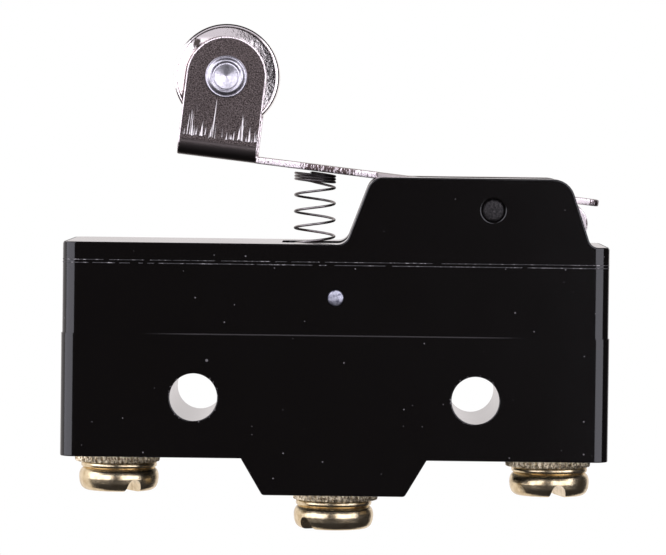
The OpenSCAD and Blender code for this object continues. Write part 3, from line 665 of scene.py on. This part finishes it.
_, _, half = axis_of("roller_axle")
plate_y, shank_r = 3.42, 1.2
cone = [(0, half - 0.36), (0.15, half - 0.33), (1.12, half - 0.12), (1.24, half - 0.16)]
ring = [(1.36, half), (1.5, half - 0.02), (1.72, half - 0.24)]
lip = [(1.78, half - 0.26), (1.85, half - 0.2), (1.925, half - 0.3), (1.925, plate_y)]
shank = [(shank_r, plate_y), (shank_r, 0)]
side = eased(cone + ring + lip + shank, (0.1, 0.1, 0.05, 0.06, 0.06, 0.08, 0.04, 0.04, 0.05, 0.01, 0.01))
rivet = through_y(turned(both_ends(side), 96), roller_x, roller_z)
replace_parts(make_piece("roller_rivet", [rivet], "lever", rivet_metal), "roller_axle")

# ---- Lever spring ---------------------------------------------------------------
# Coil of dark spring wire: one closed turn on the plunger, open turns, and three closed
# turns that lie along the sloping lever.

wire_steel, tree, shader = new_finish("drawn_spring_wire", Metallic=1.0, Roughness=0.34)
tone = grain(tree, place(tree), 2500, 2)
feed(shader, "Base Color", mix(tree, tone, (0.11, 0.10, 0.10, 1), (0.42, 0.38, 0.37, 1)))

wire, open_turns, closed_turns = 0.235, 3.8, 3
closed_pitch = wire + 0.03
tilt = math.tan(slope)
low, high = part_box("lever_spring")
spring_x = (low.x + high.x) / 2 / mm
coil_r = (high.y - low.y) / 2 / mm - wire / 2
foot = low.z / mm + wire / 2
head = high.z / mm - wire / 2 - tilt * coil_r
open_rise = head - foot - closed_pitch * (1 + closed_turns)


def coil():
    """A circle of wire carried along a helix, in metres. The helix rises by the closed pitch in
    its first turn and in each of its last ones, and by the open rise, spread evenly, between
    them. The last turns lean with the lever: their height falls by the tilt times x."""
    all_turns = 1 + open_turns + closed_turns
    t = np.linspace(0, all_turns, round(all_turns * 40))
    a = 2 * np.pi * t + np.pi
    closed = np.minimum(t, 1) + np.maximum(0, t - 1 - open_turns)
    rise = foot + closed_pitch * closed + open_rise * np.clip((t - 1) / open_turns, 0, 1)
    lean = tilt * np.clip((t - 0.5 - open_turns) / 0.5, 0, 1)
    x = coil_r * np.cos(a)
    centre = np.stack([spring_x + x, coil_r * np.sin(a), rise - lean * x], 1)
    b = np.linspace(0, 2 * np.pi, 11)
    b[-1] = 0
    thick = np.where((t == t[0]) | (t == t[-1]), 0.0, wire / 2)[:, None]
    out = thick * np.cos(b)
    circle = np.stack([out * np.cos(a)[:, None], out * np.sin(a)[:, None], thick * np.sin(b)], -1)
    return (centre[:, None] + circle) * mm


spring = make_piece("lever_spring_coil", [coil()], None, wire_steel)
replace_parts(spring, "lever_spring")
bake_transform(spring)

# ---- Terminal screws ------------------------------------------------------------
# Three pan-head screws turned from brass, each with a collar under its barrel-shaped head and
# a wide slot. Each holds a brass washer with teeth cut round it, a little off centre.

brass, tree, shader = new_finish("bright_screw_brass", Metallic=1.0, Roughness=0.26)
marks = grain(tree, place(tree), 1500, 3, 0.55)
tone = step(tree, marks, 0.35, 0.75)
feed(shader, "Base Color", mix(tree, tone, (0.84, 0.70, 0.46, 1), (0.62, 0.48, 0.28, 1)))
roughen(tree, shader, marks, 0.02 * mm)

washer_brass, tree, shader = new_finish("cut_washer_brass", Metallic=1.0, Roughness=0.35)
nicks = grain(tree, place(tree), 4600, 3, 0.7)
tone = step(tree, nicks, 0.42, 0.62)
feed(shader, "Base Color", mix(tree, tone, (1.0, 0.87, 0.62, 1), (0.20, 0.14, 0.07, 1)))
roughen(tree, shader, nicks, 0.06 * mm)


def screw_side(foot, under, tip):
    """A screw's profile in mm, from the middle of its head at the foot, up the barrel and the
    collar to where the washer lies under the head, and on to the tip of the shank."""
    barrel = [(2.9, 1.0), (3.2, 0.955), (3.45, 0.87), (3.6, 0.73), (3.665, 0.55), (3.645, 0.42),
              (3.56, 0.31), (3.38, 0.22), (3.24, 0.19)]
    collar = [(3.3, 0.18), (3.44, 0.165), (3.49, 0.10), (3.46, 0.02), (3.3, 0), (2, 0)]
    head = [(radius, under - (under - foot) * share) for radius, share in barrel + collar]
    shank = [(2, tip - 0.4), (1.6, tip), (0, tip)]
    radii = (0.6, *[0.1] * 7, 0.02, 0.03, *[0.05] * 4, *[0.1] * 3)
    return eased([(0, foot - 0.02), *head, *shank], radii, 4)


def slot_cutter(foot, turn):
    """The walls of a cutter for the slot, in mm: an arch, flared at its mouth below the foot,
    carried right across the head at the given turn, and a fan that closes each end. The arch
    is as high as the sine of its angle to the power 0.7, times 1.2 mm."""
    t = np.linspace(0, np.pi, 13)
    arch = np.stack([-0.62 * np.cos(t) * (1 + 0.12 * np.cos(t) ** 2), 1.2 * np.sin(t) ** 0.7], 1)
    left = [(-0.85, -1.0), (-0.8, -0.1)]
    right = [(0.8, -0.1), (0.85, -1.0), (-0.85, -1.0)]
    mouth = np.vstack([left, arch[1:-1], right])
    run = np.array([-5.0, 5.0])[:, None]
    wall = np.stack([mouth[:, 0] + 0 * run, run + 0 * mouth[:, 0], foot + mouth[:, 1] + 0 * run], -1)
    lids = [np.stack([wall[end], wall[end] * 0 + wall[end].mean(0)]) for end in (0, 1)]
    turned_by = np.array(Matrix.Rotation(math.radians(turn), 3, "Z"))
    return [part @ turned_by.T for part in [wall, *lids]]


def toothed_ring(low, tall, teeth=40):
    """A washer in mm, whose rim swells and shrinks by a clipped sine wave, one tooth to a wave.
    The wave is shifted in proportion to the height, so that the teeth lean."""
    a = np.linspace(0, 2 * np.pi, 12 * teeth + 1)[:, None]
    section = [(2.2, 0), (3.7, 0), (3.8, 0.06), (3.84, 0.28), (3.84, 0.72), (3.8, 0.94), (3.7, 1),
               (2.2, 1), (2.2, 0)]
    radius, share = np.array(section).T
    wave = np.clip(np.sin(a * teeth + (share - 0.5) * 3) * 1.6, -1, 1)
    radius = radius + np.where(radius > 3.75, 0.07 * wave, 0)
    ring = np.stack([radius * np.cos(a), radius * np.sin(a), low + tall * share + 0 * a], -1)
    ring[-1] = ring[0]
    return ring


# The washer reaches 0.31 mm lower than the plain one, with 0.02 mm of play over the head
thicker, play = 0.31, 0.02
for name, turn, aside in (("common", 27, -0.15), ("open", -47, 0.15), ("closed", 12, -0.15)):
    low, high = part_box(name + "_washer")
    x = (low.x + high.x) / 2
    bottom, top = low.z / mm - thicker, high.z / mm
    low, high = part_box(name + "_screw")
    foot, tip = low.z / mm, high.z / mm
    middle = np.array([x, 0, 0])
    body = turned(screw_side(foot, bottom - play, tip), 144) * mm + middle
    screw = make_piece(name + "_brass_screw", [body], "housing", brass)
    walls = [wall * mm + middle for wall in slot_cutter(foot, turn)]
    cutter = make_piece(name + "_slot", walls, None, brass)
    slotting = screw.modifiers.new("slot", "BOOLEAN")
    slotting.object = cutter
    slotting.operation = "DIFFERENCE"
    settle(screw, 30)
    bpy.data.objects.remove(cutter)
    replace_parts(screw, name + "_screw")
    ring = toothed_ring(bottom, top - bottom) * mm + np.array([x + aside * mm, 0, 0])
    washer = make_piece(name + "_toothed_washer", [ring], "housing", washer_brass, 25)
    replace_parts(washer, name + "_washer")

# ---- Plunger --------------------------------------------------------------------
# Small stepped stud moulded in dark red resin. It slides in the cover's guide, between the
# lever's spring and the snap blade.

resin, tree, shader = new_finish("plunger_red_resin", Roughness=0.35, IOR=1.5)
tone = step(tree, grain(tree, place(tree), 1100, 3), 0.3, 0.7)
feed(shader, "Base Color", mix(tree, tone, (0.16, 0.020, 0.014, 1), (0.22, 0.032, 0.020, 1)))


def finish_node(node, finish):
    """Gives a piece that keeps its modelled shape its finish."""
    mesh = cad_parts[node].data
    mesh.materials.clear()
    mesh.materials.append(finish)


finish_node("plunger", resin)

# ---- Snap blade -----------------------------------------------------------------
# One strip of copper-coloured spring metal, blanked with a middle tongue and two bowed legs.
# Its near end is riveted down.

blade_copper, tree, shader = new_finish("rolled_blade_copper", Metallic=1.0)
rolled = grain(tree, place(tree, (0.08, 1, 1)), 4200, 3)
tone = step(tree, rolled, 0.3, 0.7)
feed(shader, "Base Color", mix(tree, tone, (0.72, 0.36, 0.20, 1), (0.86, 0.49, 0.30, 1)))
feed(shader, "Roughness", calc(tree, "ADD", 0.22, times(tree, rolled, 0.16)))

# The blade is cut across into 25 lengths
blade = merged_copy("snap_blade", "bent_snap_blade")
low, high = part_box("snap_blade")
form = bmesh.new()
form.from_mesh(blade.data)
for cut_x in np.linspace(low.x, high.x, 26)[1:-1]:
    everything = form.verts[:] + form.edges[:] + form.faces[:]
    bmesh.ops.bisect_plane(form, geom=everything, plane_co=(cut_x, 0, 0), plane_no=(1, 0, 0))
form.to_mesh(blade.data)
form.free()
blade.data.materials.clear()
blade.data.materials.append(blade_copper)
blade.data.shade_smooth()
blade.data.set_sharp_from_angle(angle=math.radians(30))
fixed, pressed = (sum(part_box(node), Vector()) / 2 for node in ("blade_rivet", "plunger"))
pressed.x += math.copysign(0.8 * mm, fixed.x - pressed.x)
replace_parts(blade, "snap_blade")
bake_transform(blade)

# ---- Contacts -------------------------------------------------------------------
# Domed silver-alloy contacts on the blade and on both fixed terminals, dulled by tarnish, and
# the rivet that holds the blade.

silver, tree, shader = new_finish("contact_silver", Metallic=1.0)
tarnish = grain(tree, place(tree), 2600, 3, 0.6)
tone = step(tree, tarnish, 0.4, 0.8)
feed(shader, "Base Color", mix(tree, tone, (0.86, 0.85, 0.82, 1), (0.52, 0.47, 0.40, 1)))
feed(shader, "Roughness", calc(tree, "ADD", 0.2, times(tree, tarnish, 0.2)))
for node in ("moving_contact", "open_contact", "closed_contact", "blade_rivet"):
    finish_node(node, silver)

# ---- Terminals ------------------------------------------------------------------
# Three strips of rolled brass, blanked and folded, set in the base. Each ends below in a
# tapped foot plate for its screw.

terminal_brass, tree, shader = new_finish("rolled_terminal_brass", Metallic=1.0)
rolled = grain(tree, place(tree, (0.12, 1, 1)), 3600, 3)
tone = step(tree, rolled, 0.3, 0.75)
feed(shader, "Base Color", mix(tree, tone, (0.80, 0.62, 0.30, 1), (0.62, 0.45, 0.19, 1)))
feed(shader, "Roughness", calc(tree, "ADD", 0.24, times(tree, rolled, 0.2)))
roughen(tree, shader, rolled, 0.004 * mm)
for node in ("common_terminal", "open_terminal", "closed_terminal"):
    finish_node(node, terminal_brass)
